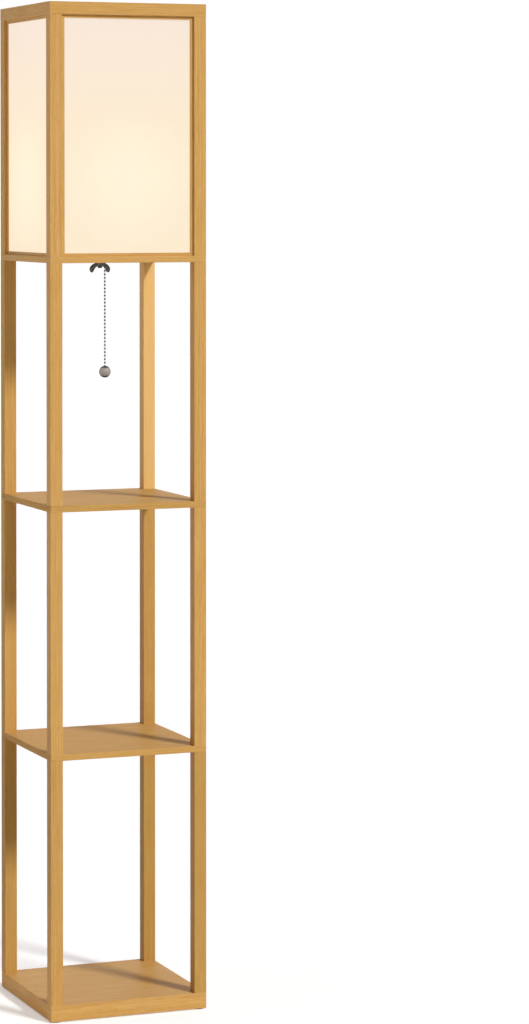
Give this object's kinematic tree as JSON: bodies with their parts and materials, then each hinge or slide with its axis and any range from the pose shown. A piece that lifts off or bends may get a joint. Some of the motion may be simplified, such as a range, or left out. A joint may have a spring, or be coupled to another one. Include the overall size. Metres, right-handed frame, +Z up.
{
  "type": "shelf floor lamp",
  "caption": "Square wooden tower lamp: open shelf tiers under a lit linen shade, with a bead pull chain.",
  "frame": {"origin": "middle of the tower at the level of the floor, under the foot pads", "axes": "+Z up along the tower, -Y towards the front, where the pull chain hangs before the lampholder"},
  "size_m": [0.26, 0.26, 1.6005],
  "materials": {
    "oak_veneer": "satin lacquered light oak veneer, fine straight grain",
    "beech_dowel": "plain fluted beech",
    "linen": "fine off-white linen weave, lit from behind",
    "felt": "pressed brown felt",
    "zinc_steel": "bright zinc plated",
    "dark_steel": "dark grey satin",
    "spring_steel": "drawn spring wire",
    "nickel": "polished nickel plate",
    "brass": "bare rolled brass",
    "black_phenolic": "moulded black phenolic",
    "grommet_rubber": "soft black rubber",
    "bulb_plastic": "white moulded plastic",
    "led_aluminium": "white coated aluminium disc",
    "frosted_globe": "opal diffuser, glowing warm white"
  },
  "bodies": {
    "tower": {"base_board": "oak_veneer", "base_screws": "zinc_steel", "batten_frame_back": "oak_veneer", "batten_frame_front": "oak_veneer", "batten_frame_left": "oak_veneer", "batten_frame_right": "oak_veneer", "bolt_washer": "zinc_steel", "centre_contact": "brass", "chain_guide": "nickel", "cord_inlet_grommet": "grommet_rubber", "foot_pads": "felt", "lampholder_bolt": "zinc_steel", "lampholder_cap": "black_phenolic", "lampholder_crossbar": "oak_veneer", "lampholder_shell": "black_phenolic", "linen_panel_back": "linen", "linen_panel_front": "linen", "linen_panel_left": "linen", "linen_panel_right": "linen", "lower_post_back_left": "oak_veneer", "lower_post_back_right": "oak_veneer", "lower_post_front_left": "oak_veneer", "lower_post_front_right": "oak_veneer", "lower_shelf": "oak_veneer", "middle_post_back_left": "oak_veneer", "middle_post_back_right": "oak_veneer", "middle_post_front_left": "oak_veneer", "middle_post_front_right": "oak_veneer", "post_studs": "zinc_steel", "return_spring": "spring_steel", "screw_shell": "brass", "shade_dowels": "beech_dowel", "shade_floor": "oak_veneer", "shade_post_back_left": "oak_veneer", "shade_post_back_right": "oak_veneer", "shade_post_front_left": "oak_veneer", "shade_post_front_right": "oak_veneer", "switch_block": "black_phenolic", "terminal_screws": "brass", "threaded_inserts": "zinc_steel", "top_rail_back": "oak_veneer", "top_rail_front": "oak_veneer", "top_rail_left": "oak_veneer", "top_rail_right": "oak_veneer", "upper_post_back_left": "oak_veneer", "upper_post_back_right": "oak_veneer", "upper_post_front_left": "oak_veneer", "upper_post_front_right": "oak_veneer", "upper_shelf": "oak_veneer"},
    "wing_nut": {"wing_nut": "dark_steel"},
    "bulb": {"bulb_contact": "brass", "bulb_cap": "nickel", "bulb_housing": "bulb_plastic", "bulb_led_plate": "led_aluminium", "bulb_globe": "frosted_globe"},
    "plunger": {"pull_plunger": "nickel"},
    "rotor": {"switch_rotor": "bulb_plastic"},
    "connector": {"chain_connector": "nickel"},
    "chain": {"pull_chain": "nickel", "chain_end_ball": "nickel"}
  },
  "joints": [
    {"name": "wing_nut_turn", "type": "hinge", "parent": "tower", "child": "wing_nut", "pos_m": [0, 0.011, 1.185], "axis": [0, 0, 1], "continuous": true},
    {"name": "bulb_turn", "type": "hinge", "parent": "tower", "child": "bulb", "pos_m": [0, 0.011, 1.25], "axis": [0, 0, 1], "continuous": true},
    {"name": "chain_pull", "type": "slide", "parent": "tower", "child": "plunger", "axis": [0, 0, -1], "range_m": [0, 0.008], "stiffness_N_per_m": 400, "springref_m": -0.005, "deforming": ["return_spring"]},
    {"name": "rotor_turn", "type": "hinge", "parent": "tower", "child": "rotor", "pos_m": [0, 0.003, 1.22565], "axis": [1, 0, 0], "range_deg": [0, 46]},
    {"name": "chain_sway", "type": "hinge", "parent": "plunger", "child": "connector", "pos_m": [0, -0.0135, 1.2103], "axis": [0, 1, 0], "range_deg": [-15, 15]},
    {"name": "chain_swing", "type": "hinge", "parent": "connector", "child": "chain", "pos_m": [0, -0.0135, 1.20462], "axis": [1, 0, 0], "range_deg": [-15, 15]}
  ],
  "couplings": [
    {"joint": "rotor_turn", "follows": "chain_pull", "rad_per_m": 98.175}
  ]
}
